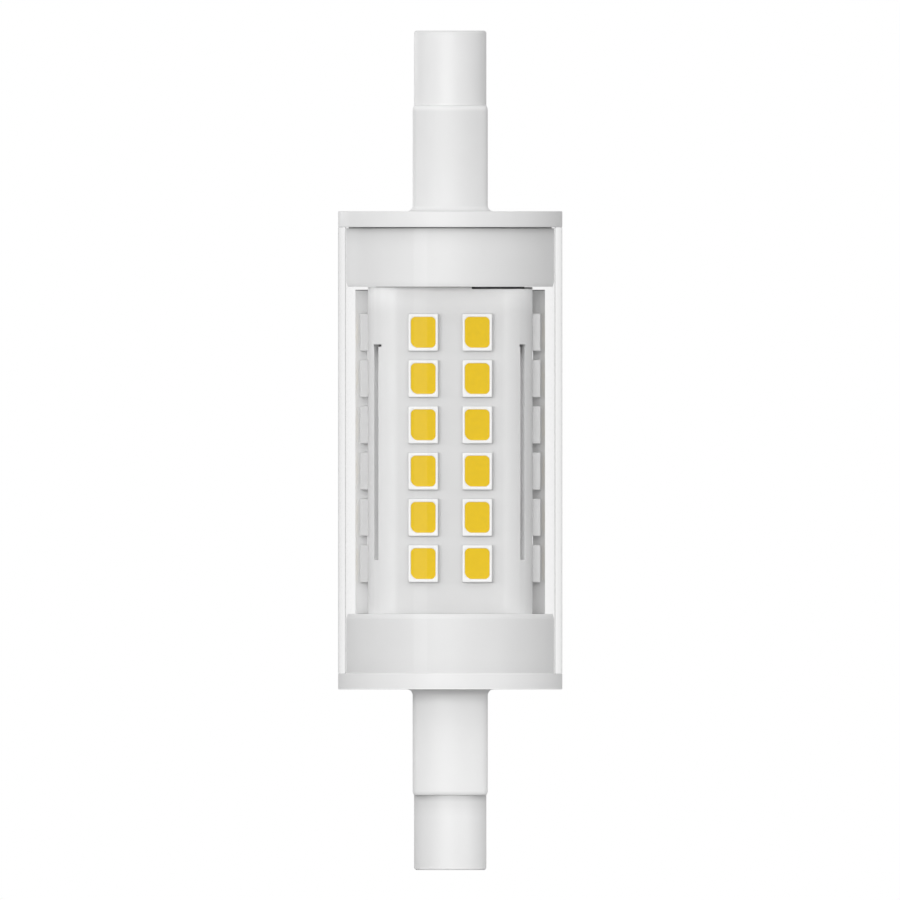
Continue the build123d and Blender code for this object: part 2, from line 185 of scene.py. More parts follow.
class LampSizes(PropertyGroup):
    """Sizes of the lamp's pieces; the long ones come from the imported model."""

    tube_radius: length(TUBE_HIGH.x / MM, "Outside of the clear tube")
    tube_wall: length(0.65, "Wall of the clear tube")
    pin_radius: length(3.36, "Round pin at each end")
    pin_round: length(0.25, "Rounded edge of the pin's end")
    pin_length: length(6.93, "Pin from its end to the neck")
    neck_width: length(6.98, "Neck across its flat sides")
    neck_depth: length(7.5, "Neck across its crowned faces")
    neck_crown: length(5.5, "Radius of the crowned faces")
    neck_corner: length(0.9, "Rounded upright edges of the neck")
    neck_end_round: length(0.42, "Rounded edge of the neck's end, along")
    neck_end_inset: length(0.26, "The same, across")
    neck_root_round: length(0.55, "Fillet between neck and flange")
    flange_thickness: length(1.48, "Disc between neck and tube")
    flange_round: length(0.07, "Rounded edges of the flange")
    collar_clearance: length(0.11, "Gap between collar and tube")
    collar_wall: length(1.0, "Wall of the hollow collar")
    collar_undercut: length(0.22, "Groove at the upper collar's root, across")
    collar_undercut_height: length(0.11, "The same, along")
    collar_lead_in: length(0.14, "Bevel at the collar's rim, across")
    collar_lead_in_height: length(0.47, "The same, along")
    # Painted shade on the upper collar below its flange
    root_painted_shade_reach: length(2.0, "Shaded corner where the upper collar meets its flange")
    # Painted highlight along the lower flange's edge
    low_edge_painted_highlight_reach: length(0.14, "Paler edge of the lower flange")
    # Painted light on the lower pin's rounded end
    pin_end_painted_light_reach: length(0.3, "Paler rim at the lower pin's end")
    # Painted shadow on the lower pin below its neck
    pin_painted_shadow_reach: length(2.0, "Shaded corner where the lower pin meets its neck")
    recess_radius: length(2.2, "Round recess in the pin's end")
    recess_depth: length(1.55, "Depth of that recess")
    recess_lead_in: length(0.2, "Bevel at the recess's mouth")
    contact_radius: length(1.75, "Head of the contact rivet")
    contact_thickness: length(0.6, "Head of the contact rivet")
    contact_round: length(0.14, "Rounded edge of the rivet's head")
    shank_radius: length(1.0, "Shank of the contact rivet")
    shank_length: length(2.0, "Plastic web that the rivet clamps")
    tail_radius: length(1.4, "Upset tail of the rivet")
    tail_thickness: length(0.35, "Upset tail of the rivet")
    contact_clearance: length(0.05, "Gap round the rivet")
    wire_bore_radius: length(2.0, "Passage for the lead")
    tongue_half_width: length(6.9, "Board's tongue inside the collar")
    groove_clearance: length(0.08, "Gap between tongue and rib")
    groove_depth: length(0.7, "Bite of the rib's groove")
    rib_wall: length(0.9, "Rib beside its groove")
    rib_height: length(3.2, "Rib along the lamp")
    carrier_sheet: length(1.0, "Folded metal sheet")
    carrier_bend: length(2.67, "Outside radius of the fold")
    # Painted light that whitens a carrier's coat below its top edge
    coat_painted_light_reach: length(2.2, "Whitening of the coat below a carrier's top edge")
    coat_run_in: length(0.2, "Start of the brighter coat, beside a fold")
    coat_run_out: length(0.25, "Full tone of that coat, on the fold")
    slot_width: length(0.55, "Slot along each fold")
    slot_depth: length(0.62, "Depth of a slot over most of its length")
    slot_bite: length(0.1, "Overlap of a slot's floor with the sheet round it")
    slot_run_out: length(2.6, "Deepening stretch at a slot's upper end")
    slot_open: length(0.8, "Open stretch at a slot's upper end")
    slot_slant: angle(12.0, "Widening of a slot inside, at its upper end")
    slot_web_top: length(5.16, "Fold above the slot")
    slot_web_bottom: length(5.0, "Fold below the slot")
    left_slot_turn: angle(44.2, "Place of the left slot round its fold")
    right_slot_turn: angle(48.5, "Place of the right slot round its fold")
    head_height: length(0.21, "Cross cut at the upper end of a slot")
    head_short: angle(2.0, "Short side of that cross cut, round the fold")
    head_long: angle(7.5, "Long side of that cross cut, round the fold")
    step_height: length(0.17, "Raised part of a carrier's top edge")
    step_place: length(2.0, "Where that part ends, from the middle")
    tab_length: length(2.0, "Tab of a carrier along the lamp")
    tab_spacing: length(17.0, "Between the tabs' middles")
    tab_end_gap: length(0.05, "Tab's end to the board's middle plane")
    tab_clearance: length(0.05, "Gap round a tab in its slot")
    sheet_edge: length(0.05, "Softened edges of the carriers and the board")
    led_pitch: length(4.3, "Between packages along a column")
    led_edge: length(0.05, "Softened edges of a housing")
    led_corner: length(0.07, "Corners of a housing")
    window_width: length(2.32, "Opening of a housing, across")
    window_length: length(2.88, "Opening of a housing, along")
    window_corner: length(0.36, "Cut corners of the opening")
    window_mark: length(0.56, "Larger corner that marks the polarity")
    window_lip: length(0.03, "Rounded lip of the opening")
    cavity_depth: length(0.42, "Cavity that holds the phosphor")
    cavity_draft: angle(12.0, "Slope of the cavity's walls")
    phosphor_drop: length(0.06, "Phosphor below the housing's face")
    phosphor_sag: length(0.03, "Hollow of the phosphor's skin")
    window_half_width: length(3.3, "Half of the board's opening for the capacitor")
    capacitor_gap: length(0.15, "Gap round the capacitor")
    capacitor_lead: length(2.0, "Leads beyond the capacitor's can")
    board_height: length(30.12, "Wide plate of the board along the lamp")
    notch_half_width: length(0.3, "Board's notch for a capacitor lead")
    notch_spacing: length(2.5, "Between the two notches")
    # Darker strip along the board's top edge
    mask_border: length(0.1, "Bare rim above the board's white coat")
    # Painted shade: the board's coat is duller near its top than lower down
    mask_painted_shade_full: length(2.0, "Duller stretch of the coat below the board's top")
    mask_painted_shade_start: length(3.0, "Start of the coat's full tone, from the board's top")


class LampColours(PropertyGroup):
    """Colours of the lamp's finishes, in linear light."""

    plastic: grey(0.785, "Moulded end caps")
    coating: grey(0.73, "White coat of the carriers")
    mask: grey(0.59, "White coat of the driver board")
    housing: grey(0.865, "White LED housings")
    phosphor: colour((0.82, 0.55, 0.012), "Yellow phosphor")
    tube: grey(0.976, "Tint of the clear tube")
    contact: colour((0.72, 0.70, 0.66), "Plated contact rivets")
    insulation: colour((0.75, 0.74, 0.70), "Leads")
    sleeve: colour((0.045, 0.05, 0.055), "Smoothing capacitor")
    ferrite: colour((0.10, 0.10, 0.105), "Choke")
    ceramic: colour((0.42, 0.31, 0.20), "Ceramic capacitor")
    package: colour((0.03, 0.03, 0.032), "Rectifier, chip and diode")
    resistor: colour((0.10, 0.22, 0.27), "Fusible and sense resistors")
    floor: grey(0.92, "Pale studio floor")


class LampStudio(PropertyGroup):
    """Camera frame and light levels of the studio."""

    view_height: length(83.64, "Height of the camera's square frame")
    left: level(1.07, "Level of the room's light on the left")
    right: level(0.885, "Level of the room's light on the right")
    overhead: level(0.45, "Share of the room's light that is left overhead")
    bounce: level(0.50, "Share of the light that the floor throws back up")
    front: level(0.12, "Room in front, as reflections show it")
    back: level(0.58, "Room behind, as reflections show it")
    key_power: power(4.5, "Large soft lamp in front, a little to the left")
    top_power: power(0.15, "Soft lamp overhead")
    fill_power: power(2.2, "Soft spot on the lower end, from the right")
    side_power: power(0.6, "Soft lamp on the left, for the light engine alone")
    rim_power: power(0.8, "Soft lamp behind on the left, for the upper cap alone")
    strip_power: power(0.085, "Tall soft lamp whose reflection the tube shows")


# Shader nodes


def add(tree, kind, inputs=None, **settings):
    """A shader node of that kind, with its settings, and its inputs joined or given a value."""
    node = tree.nodes.new(f"ShaderNode{kind}")
    for name, value in settings.items():
        setattr(node, name, value)
    for name, value in (inputs or {}).items():
        if isinstance(value, bpy.types.NodeSocket):
            tree.links.new(value, node.inputs[name])
        else:
            node.inputs[name].default_value = value
    return node


def new_material(name):
    """An empty node material, with its tree."""
    material = bpy.data.materials.new(name)
    material.use_nodes = True
    material.node_tree.nodes.clear()
    return material, material.node_tree


def object_axes(tree):
    """X, Y and Z of the Object coordinates."""
    place = add(tree, "TexCoord").outputs["Object"]
    return add(tree, "SeparateXYZ", {"Vector": place}).outputs


def object_noise(tree, scale, detail=2.0):
    """Noise on Object coordinates; scale is in features to the metre."""
    place = add(tree, "TexCoord").outputs["Object"]
    return add(tree, "TexNoise", {"Vector": place, "Scale": scale, "Detail": detail}).outputs["Fac"]


def maths(tree, operation, *values):
    """The result of one step of arithmetic."""
    return add(tree, "Math", dict(enumerate(values)), operation=operation).outputs[0]


def mapped(tree, value, start, end, low=0.0, high=1.0, kind="LINEAR"):
    """A value carried from the range start-end to the range low-high, and kept within it."""
    limits = {"Value": value, "From Min": start, "From Max": end, "To Min": low, "To Max": high}
    return add(tree, "MapRange", limits, interpolation_type=kind).outputs["Result"]


def mixed(tree, factor, first, second, blend="MIX"):
    """Two colours mixed by a factor."""
    sockets = {0: factor, 6: first, 7: second}
    return add(tree, "Mix", sockets, data_type="RGBA", blend_type=blend).outputs[2]


def times(tree, tone, factor):
    """A tone multiplied by another tone or by a level."""
    return mixed(tree, 1.0, tone, factor, "MULTIPLY")


def ramped(tree, factor, stops, rgb=(1.0, 1.0, 1.0)):
    """A colour by a factor, from pairs of the factor and a share of the colour."""
    node = add(tree, "ValToRGB", {"Fac": factor})
    elements = node.color_ramp.elements
    while len(elements) < len(stops):
        elements.new(0.5)
    for element, (position, share) in zip(elements, stops):
        element.position, element.color = position, (*(np.array(rgb) * share), 1.0)
    return node.outputs["Color"]


def two_tone(tree, factor, rgb, dark, light):
    """A colour that runs between two shares of itself over the middle of a noise."""
    return ramped(tree, factor, tuple(zip(NOISE, (dark, light))), rgb)


def grazing_tint(tree, rgb, stops):
    """Tint of a clear skin by how far it turns from the ray."""
    facing = add(tree, "LayerWeight", {"Blend": 0.5}).outputs["Facing"]
    return ramped(tree, facing, stops, rgb)


def relief(tree, height, depth, strength):
    """Normal of a fine relief of that depth."""
    return add(tree, "Bump", {"Height": height, "Distance": depth, "Strength": strength}).outputs["Normal"]


def shaded(material, tree, inputs):
    """The material with one Principled shader on its output."""
    shader = add(tree, "BsdfPrincipled", inputs)
    add(tree, "OutputMaterial", {"Surface": shader.outputs["BSDF"]})
    return material


def opaque(name, tone, mottle, rough, grain=FINE_GRAIN, specular=0.5):
    """Opaque finish whose tone and gloss follow a slow mottle, with a fine grain in relief.

    tone is a function that makes the colour from the tree and the mottle.
    """
    material, tree = new_material(name)
    patches = object_noise(tree, mottle)
    scale, detail, depth, strength = grain
    return shaded(material, tree, {
        "Base Color": tone(tree, patches),
        "Roughness": mapped(tree, patches, *NOISE, *rough),
        "Normal": relief(tree, object_noise(tree, scale, detail), depth, strength),
        "Specular IOR Level": specular,
    })


def grained(name, rgb, contrast, mottle=350.0, rough=(0.36, 0.46), grain=FINE_GRAIN, **settings):
    """Opaque finish of two near tones."""

    def mottled(tree, patches):
        return two_tone(tree, patches, rgb, 1 - contrast, 1 + contrast)

    return opaque(name, mottled, mottle, rough, grain, **settings)


def clear_finish(rgb):
    """Clear plastic: a thin wall that bends no ray and mirrors some at its skin, open to light from lamps."""
    material, tree = new_material("clear_plastic")
    smear = object_noise(tree, 120.0)
    skin = add(tree, "Attribute", attribute_name="outer_skin").outputs["Fac"]
    glass = add(tree, "BsdfPrincipled", {
        "Base Color": mixed(tree, skin, grazing_tint(tree, rgb, BORE_TINT), grazing_tint(tree, rgb, SKIN_TINT)),
        "Roughness": mapped(tree, smear, *NOISE, 0.0, 0.02),
        "IOR": 1.0,
        "Transmission Weight": 1.0,
        "Coat Weight": skin,
        "Coat IOR": 1.49,
        "Coat Roughness": 0.01,
    })
    path = add(tree, "LightPath").outputs
    lighting = maths(tree, "MAXIMUM", path["Is Shadow Ray"], path["Is Diffuse Ray"])
    open_way = add(tree, "BsdfTransparent")
    mix = add(tree, "MixShader", {0: lighting, 1: glass.outputs["BSDF"], 2: open_way.outputs["BSDF"]})
    add(tree, "OutputMaterial", {"Surface": mix.outputs["Shader"]})
    return material


def contact_finish(rgb):
    """Plated metal with faint turned rings about the lamp's axis."""
    material, tree = new_material("contact_metal")
    place = add(tree, "TexCoord").outputs["Object"]
    rings = add(
        tree, "TexWave", {"Vector": place, "Scale": 2200.0, "Distortion": 1.5, "Detail": 2.0},
        wave_type="RINGS", rings_direction="Z",
    ).outputs["Fac"]
    return shaded(material, tree, {
        "Base Color": two_tone(tree, object_noise(tree, 900.0), rgb, 0.9, 1.0),
        "Metallic": 1.0,
        "Roughness": mapped(tree, rings, *NOISE, 0.22, 0.34),
        "Normal": relief(tree, rings, 0.003 * MM, 0.4),
    })


def plastic_finish(rgb, bands):
    """White moulded plastic with painted light and shade in bands along the lamp.

    Each band has its lowest and highest point and its shares of the colour from one to the other. A share
    of 1 at an end leaves the plastic beyond it as it is.
    """

    def banded(tree, patches):
        height = object_axes(tree)["Z"]
        tone = two_tone(tree, patches, rgb, 0.992, 1.008)
        for low, high, shares in bands:
            tone = times(tree, tone, ramped(tree, mapped(tree, height, low, high), shares))
        return tone

    return opaque("white_plastic", banded, 350.0, (0.42, 0.50))


def mask_finish(rgb, sizes):
    """Board coat with painted shade that greys it to the right and to the top, and a darker strip along the top
    edge.
    """
    top = CARRIER_LOW.z + sizes.board_height

    def coated(tree, patches):
        axes = object_axes(tree)
        # Darker strip along the board's top edge
        rim = maths(tree, "GREATER_THAN", axes["Z"], top - sizes.mask_border)
        # Painted shade: the coat greys to the right, and stays duller near the top than lower down
        painted_side_shade = mapped(tree, axes["X"], BOARD_LOW.x, BOARD_HIGH.x, *MASK_PAINTED_SIDE_SHADE)
        lift = mapped(tree, axes["Z"], top - sizes.mask_painted_shade_start, top - sizes.mask_painted_shade_full, *MASK_PAINTED_TOP_SHADE)
        coat = two_tone(tree, patches, rgb, 0.97, 1.0)
        dark_top_strip = two_tone(tree, patches, rgb, 0.45, 0.5)
        return times(tree, times(tree, mixed(tree, rim, coat, dark_top_strip), painted_side_shade), lift)

    return opaque("board_mask", coated, 500.0, (0.42, 0.52), (4000.0, 2.0, 0.004 * MM, 0.4))


def coating_finish(rgb, sizes):
    """White carrier coat: bright on the folds, duller on the flat strip of the LEDs, with painted light that
    whitens it up to the top edge.
    """
    top, flat = CARRIER_HIGH.z, CARRIER_HIGH.x - sizes.carrier_bend

    def coated(tree, patches):
        axes = object_axes(tree)
        across = maths(tree, "ABSOLUTE", axes["X"])
        # Painted light: the coat whitens up to the top edge
        lift = mapped(tree, axes["Z"], top - sizes.coat_painted_light_reach, top, *COAT_PAINTED_TOP_LIGHT)
        share = mapped(tree, across, flat - sizes.coat_run_in, flat + sizes.coat_run_out)
        strip = two_tone(tree, patches, rgb, 0.925, 0.94)
        fold = two_tone(tree, patches, rgb, 0.99, 1.0)
        return times(tree, mixed(tree, share, strip, fold), lift)

    return opaque("carrier_coating", coated, 350.0, (0.40, 0.50), (3000.0, 3.0, 0.004 * MM, 0.5))


def floor_finish(rgb, bounce):
    """Pale matt floor that throws only a share of the light back up."""

    def matt(tree, patches):
        seen = two_tone(tree, patches, rgb, 0.985, 1.0)
        thrown = two_tone(tree, patches, rgb, 0.985 * bounce, bounce)
        return mixed(tree, add(tree, "LightPath").outputs["Is Diffuse Ray"], seen, thrown)

    return opaque("floor", matt, 40.0, (0.7, 0.8), (900.0, 2.0, 0.02 * MM, 0.3))


def housing_finish(rgb):
    """White package plastic, duller on the outer walls than on the face; the piece's rise says which is which."""

    def moulded(tree, patches):
        rise = add(tree, "Attribute", attribute_name="rise").outputs["Fac"]
        wall = two_tone(tree, patches, rgb, 0.62, 0.66)
        face = two_tone(tree, patches, rgb, 0.99, 1.0)
        return mixed(tree, mapped(tree, rise, 0.985, 0.999), wall, face)

    return opaque("led_housing", moulded, 900.0, (0.32, 0.42))


# Surfaces


def polar(radius, turn):
    """Flat points from their distances and turns."""
    return np.stack([radius * np.cos(turn), radius * np.sin(turn)], -1)


def raised(points, heights):
    """Flat points set at their heights."""
    return np.concatenate([points, np.broadcast_to(heights, (*points.shape[:2], 1))], -1)


def arc(centre, radius, start, end, steps):
    """Points of a circular arc in a profile plane, angles in degrees from the first axis."""
    return np.array(centre) + polar(radius, np.radians(np.linspace(start, end, steps + 1)))


def loft(rings, first=None, last=None):
    """Quads between each ring of points and the next; rings run counter-clockwise and close on themselves.

    The stations run up the outside, so that faces point outwards. first and last say how the loft ends:
    "flat" closes it with one face, "join" ties the last station to the first, and None leaves it open.
    """
    stations, points = rings.shape[:2]
    index = np.arange(stations * points).reshape(stations, points)
    if last == "join":
        index = np.vstack([index, index[:1]])
    low, high = index[:-1], index[1:]
    quads = np.stack([low, np.roll(low, -1, 1), np.roll(high, -1, 1), high], -1).reshape(-1, 4)
    ends = []
    if first == "flat":
        ends.append(index[:1, ::-1])
    if last == "flat":
        ends.append(index[-1:])
    return rings.reshape(-1, 3), [quads, *ends]


def turned(profile, points):
    """Rings of a profile of radius and height carried round the lamp's axis."""
    radius, height = np.asarray(profile).T[:, :, None]
    turn = np.linspace(0.0, 2 * np.pi, points, endpoint=False)
    return raised(polar(radius, turn), height[..., None])


def sheet_solid(outer, inner, present):
    """Closed sheet between two point grids of the same shape.

    Each present cell gives one quad on either face, and each cell edge with a present cell on one side
    only gives a wall quad between the faces. Points that no face uses are dropped.
    """
    index = np.arange(outer.shape[0] * outer.shape[1]).reshape(outer.shape[:2])
    under = index + index.size

    def cells(grid):
        return np.stack([grid[:-1, :-1], grid[1:, :-1], grid[1:, 1:], grid[:-1, 1:]], -1)[present]

    def walls(start, end, chosen):
        corners = [index[start], index[end], under[end], under[start]]
        return np.stack(corners, -1)[chosen]

    edge = np.pad(present.astype(int), 1)
    along = np.diff(edge[:, 1:-1], axis=0)
    across = np.diff(edge[1:-1], axis=1)
    near, far = np.s_[:, :-1], np.s_[:, 1:]
    left, right = np.s_[:-1, :], np.s_[1:, :]
    faces = np.concatenate([
        cells(index), cells(under)[:, ::-1],
        walls(near, far, along > 0), walls(far, near, along < 0),
        walls(right, left, across > 0), walls(left, right, across < 0),
    ])
    used, faces = np.unique(faces, return_inverse=True)
    points = np.concatenate([outer.reshape(-1, 3), inner.reshape(-1, 3)])[used]
    return points, [faces.reshape(-1, 4)]


def joined(shells):
    """Several shells as one set of points and faces."""
    starts = np.cumsum([0, *[len(points) for points, _ in shells[:-1]]])
    faces = [face + start for (_, parts), start in zip(shells, starts) for face in parts]
    return np.concatenate([points for points, _ in shells]), faces


def half_turn(points, axis):
    """Points turned half round the Y axis (1) or the Z axis (2)."""
    signs = np.array((-1.0, -1.0, -1.0))
    signs[axis] = 1.0
    return points * signs


def add_piece(name, shell, finish, nodes, bevel=0.0, crease=35.0):
    """A mesh at the origin that rides on the lamp and stands for its CAD nodes."""
    points, faces = shell
    mesh = bpy.data.meshes.new(name)
    mesh.from_pydata(points.tolist(), [], [face for part in faces for face in part.tolist()])
    if mesh.validate():
        raise RuntimeError(f"{name} has a face that is not sound")
    mesh.shade_smooth()
    mesh.set_sharp_from_angle(angle=radians(crease))
    mesh.materials.append(finish)
    piece = bpy.data.objects.new(name, mesh)
    bpy.context.scene.collection.objects.link(piece)
    if bevel:
        soft = piece.modifiers.new("soft_edges", "BEVEL")
        soft.width, soft.segments = bevel, 2
        soft.limit_method, soft.angle_limit = "ANGLE", radians(crease)
        piece.modifiers.new("closed_corners", "WELD").merge_threshold = WELD
    piece.modifiers.new("even_shading", "WEIGHTED_NORMAL").keep_sharp = True
    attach(piece, "root")
    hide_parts(*nodes)
    return piece


def tag(piece, name, values):
    """Gives each point of a piece a value that its finish reads."""
    piece.data.attributes.new(name, "FLOAT", "POINT").data.foreach_set("value", values)


def paint(node, finish):
    """Gives a CAD node its finish."""
    materials = frame["nodes"][node].data.materials
    materials.clear()
    materials.append(finish)


# Lamp geometry


def neck_radius(sizes, bearing, inset):
    """Distance from the axis to the neck's outline, drawn in by inset, at each bearing.

    The outline has two flat sides, a crowned front and back, and round corners. A ray meets the side's
    line, the crown's circle or the corner's circle, whichever holds the outline there.
    """
    turn = np.arctan2(np.abs(np.sin(bearing)), np.abs(np.cos(bearing)))
    cos, sin = np.cos(turn), np.sin(turn)
    half, crown, corner = sizes.neck_width / 2 - inset, sizes.neck_crown - inset, sizes.neck_corner - inset
    sunk = sizes.neck_crown - sizes.neck_depth / 2
    corner_x = half - corner
    corner_y = np.sqrt((crown - corner) ** 2 - corner_x**2) - sunk
    side = half / np.maximum(cos, 1e-9)
    front = np.sqrt(crown**2 - (sunk * cos) ** 2) - sunk * sin
    reach = corner_x * cos + corner_y * sin
    bend = reach + np.sqrt(np.maximum(corner**2 - corner_x**2 - corner_y**2 + reach**2, 0.0))
    on_front = front * cos <= crown * corner_x / (crown - corner)
    return np.where(side * sin <= corner_y, side, np.where(on_front, front, bend))


def cap_levels(sizes):
    """Heights of the upper cap's steps: flange's underside and top, neck's end and the pin's end."""
    floor = TUBE_HIGH.z
    flange = floor + sizes.flange_thickness
    return floor, flange, CAP_HIGH.z - sizes.pin_length, CAP_HIGH.z


def cap_shell(sizes, undercut):
    """The upper end cap's skin, one closed profile carried round the axis.

    The profile runs from the pin's mouth down the stepped bore, round the cup and up the outside. Where
    it follows the neck, its radius is the neck's outline at that angle and always a hair over the pin's.
    The undercut is a square groove round the collar's root.
    """
    floor, flange, neck, tip = cap_levels(sizes)
    tube, pin = sizes.tube_radius, sizes.pin_radius
    collar = tube - sizes.tube_wall - sizes.collar_clearance
    cup, rim = collar - sizes.collar_wall, CAP_LOW.z
    soft, end, root, pin_round = sizes.flange_round, sizes.neck_end_round, sizes.neck_root_round, sizes.pin_round
    recess = tip - sizes.recess_depth
    head = recess - sizes.contact_thickness
    web = head - sizes.shank_length
    hole = sizes.shank_radius + sizes.contact_clearance
    seat = sizes.contact_radius + sizes.contact_clearance
    mouth = sizes.recess_radius + sizes.recess_lead_in

    inside = [
        (mouth, tip), (sizes.recess_radius, tip - sizes.recess_lead_in), (sizes.recess_radius, recess),
        (seat, recess), (seat, head), (hole, head), (hole, web), (sizes.wire_bore_radius, web),
        (sizes.wire_bore_radius, floor), (cup, floor), *arc((cup + soft, rim + soft), soft, 180, 270, 6),
    ]
    lead = (collar - sizes.collar_lead_in, rim)
    rise = (collar, rim + sizes.collar_lead_in_height)
    groove = floor - sizes.collar_undercut_height
    corner = [(collar, groove), (collar - undercut, groove), (collar - undercut, floor)]
    skirt = [
        lead, rise, *(corner if undercut else [(collar, floor)]),
        *arc((tube - soft, floor + soft), soft, -90, 0, 6), *arc((tube - soft, flange - soft), soft, 0, 90, 6),
    ]
    sweep = np.radians(np.linspace(90, 0, 9))
    root_inset = np.stack([root * (np.cos(sweep) - 1), flange + root * (1 - np.sin(sweep))], -1)
    end_inset = np.stack([
        sizes.neck_end_inset * (1 - np.cos(sweep)), neck - end + end * np.sin(sweep),
    ], -1)[::-1]
    top = [(pin, neck), *arc((pin - pin_round, tip - pin_round), pin_round, 0, 90, 6)]

    turn = np.linspace(0.0, 2 * np.pi, CAP_POINTS, endpoint=False)
    stem = np.concatenate([root_inset, end_inset])
    outline = np.maximum(neck_radius(sizes, turn, stem[:, :1]), pin + HAIR)
    stem_rings = raised(polar(outline, turn), stem[:, 1:, None])
    rings = np.concatenate([turned(inside + skirt, CAP_POINTS), stem_rings, turned(top, CAP_POINTS)])
    return loft(rings, last="join")


def rib_shell(sizes, side):
    """One grooved rib inside the upper cup: a C-shaped outline carried along the lamp."""
    floor = cap_levels(sizes)[0]
    collar = sizes.tube_radius - sizes.tube_wall - sizes.collar_clearance
    outer = collar - sizes.collar_wall / 2
    bottom = sizes.tongue_half_width + sizes.groove_clearance
    inner = sizes.tongue_half_width - sizes.groove_depth
    groove = BOARD_HIGH.y + sizes.groove_clearance
    half = groove + sizes.rib_wall
    outline = np.array([
        (outer, half), (inner, half), (inner, groove), (bottom, groove),
        (bottom, -groove), (inner, -groove), (inner, -half), (outer, -half),
    ]) * side
    heights = np.array((floor - sizes.rib_height, floor + sizes.flange_round))
    return loft(raised(np.stack([outline, outline]), heights[:, None, None]), "flat", "flat")


def outline_of(half_width, half_length, cuts):
    """Counter-clockwise outline of a rectangle with eased corners.

    Each corner is a quadratic curve over its cut, whose middle point lies part of the way from the
    cut's straight line to the sharp corner. Corners run upper right, upper left, lower left, lower right.
    """
    ease = np.linspace(0.0, 1.0, CORNER_STEPS + 1)[:, None]
    corners = []
    signs = ((1, 1), (-1, 1), (-1, -1), (1, -1))
    for number, ((right, up), cut) in enumerate(zip(signs, cuts)):
        corner = np.array((right * half_width, up * half_length))
        on_side = corner - (0, up * cut)
        on_end = corner - (right * cut, 0)
        start, stop = (on_side, on_end) if number % 2 == 0 else (on_end, on_side)
        middle = (1 - CORNER_PULL) * (start + stop) / 2 + CORNER_PULL * corner
        corners.append((1 - ease) ** 2 * start + 2 * ease * (1 - ease) * middle + ease**2 * stop)
    return np.concatenate(corners)


def stacked(levels):
    """Rings of flat outlines, each at its own height."""
    outlines, heights = zip(*levels)
    return raised(np.stack(outlines), np.array(heights)[:, None, None])


def led_shells(sizes, width, size, height):
    """One LED package seen from its seat: its housing and its phosphor.

    The housing is a stack of outlines that climbs the outer wall, crosses the face and goes down the
    tapered cavity. The phosphor fills that cavity, and its skin hollows with the square of the distance
    from its rim.
    """
    soft, lip, taper = sizes.led_edge, sizes.window_lip, tan(sizes.cavity_draft)
    corner, cut, mark = sizes.led_corner, sizes.window_corner, sizes.window_mark

    def body(inset):
        return outline_of(width / 2 - inset, size / 2 - inset, [corner] * 4)

    def window(inset):
        return outline_of(
            sizes.window_width / 2 - inset, sizes.window_length / 2 - inset, (cut, cut, mark, cut)
        )

    floor = height - sizes.cavity_depth
    skin = height - sizes.phosphor_drop
    housing = stacked([
        (body(0.0), 0.0), (body(0.0), height - soft), (body(EDGE_BOW * soft), height - EDGE_BOW * soft),
        (body(soft), height), (window(-lip), height), (window(-EDGE_BOW * lip), height - EDGE_BOW * lip),
        (window(0.0), height - lip), (window(sizes.cavity_depth * taper), floor),
    ])
    hollow = [(share, skin - sizes.phosphor_sag * (1 - share**2)) for share in SKIN_RINGS]
    fill = stacked([
        (window(sizes.cavity_depth * taper), floor), (window(sizes.phosphor_drop * taper), skin),
        *[(window(sizes.phosphor_drop * taper) * share, place) for share, place in hollow],
    ])
    return loft(housing, "flat", "flat"), loft(fill, "flat", "flat")


def housing_rise(housing, height):
    """For each point of a housing, its height as a share of the package's, with the cavity counted as face."""
    points = housing[0].reshape(-1, 4 * (CORNER_STEPS + 1), 3)
    rise = points[:, :, 2] / height
    rise[WALL_RINGS:] = 1.0
    return rise.ravel()


def column_places(node, sizes):
    """Seats of the packages in one LED column, from its CAD node: frame axes and the seats' middles."""
    low, high = (np.array(corner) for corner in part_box(node))
    middle, extent = (low + high) / 2, high - low
    thin = int(np.argmin(extent[:2]))
    outward = np.zeros(3)
    outward[thin] = np.sign(middle[thin])
    across = np.cross(UP, outward)
    rows = 1 + round(extent[2] / sizes.led_pitch - 0.5)
    seat = middle - outward * extent[thin] / 2
    lift = (np.arange(rows) - (rows - 1) / 2) * sizes.led_pitch
    package = (extent[1 - thin], extent[2] - (rows - 1) * sizes.led_pitch, extent[thin])
    return np.stack([across, UP, outward]), seat + lift[:, None] * UP, package


def repeated(shell, axes, seats):
    """One shell set down on every seat."""
    points, faces = shell
    return joined([(points @ axes + seat, faces) for seat in seats])


def fold_turns(sizes, radius, slant, middle, heads):
    """Turns round one fold, in degrees: from the leg to the flat, with stops at the slot and its cross cut."""
    half = np.degrees(np.arcsin(sizes.slot_width / 2 / radius))
    low, high = np.degrees(middle) - half - slant, np.degrees(middle) + half
    leg_head, flat_head = np.degrees(heads)
    return np.concatenate([
        np.linspace(0, low - leg_head, FOLD_POINTS), (low, high), np.linspace(high + flat_head, 90, FOLD_POINTS),
    ])


def fold_path(sizes, depth, slant):
    """Section of a folded carrier at a depth under its outer face, from one tab's end to the other's.

    The path goes up one leg, round a quarter circle, over the flat, round the second and down the other
    leg. Its points include the edges of the slots, which the slant, in degrees, widens towards the legs.
    """
    half, face, bend = CARRIER_HIGH.x, -CARRIER_LOW.y, sizes.carrier_bend
    radius = bend - depth
    leg = np.array([(-half + depth, -sizes.tab_end_gap), (-half + depth, -BOARD_HIGH.y)])
    sides = []
    for middle, heads in (
        (sizes.left_slot_turn, (sizes.head_short, sizes.head_long)),
        (sizes.right_slot_turn, (sizes.head_short, sizes.head_short)),
    ):
        turn = np.radians(fold_turns(sizes, radius, slant, middle, heads))
        fold = np.stack([-(half - bend) - radius * np.cos(turn), -(face - bend) - radius * np.sin(turn)], -1)
        sides.append(np.concatenate([leg, fold]))
    return np.concatenate([sides[0], [(sizes.step_place, depth - face)], sides[1][::-1] * (-1.0, 1.0)])


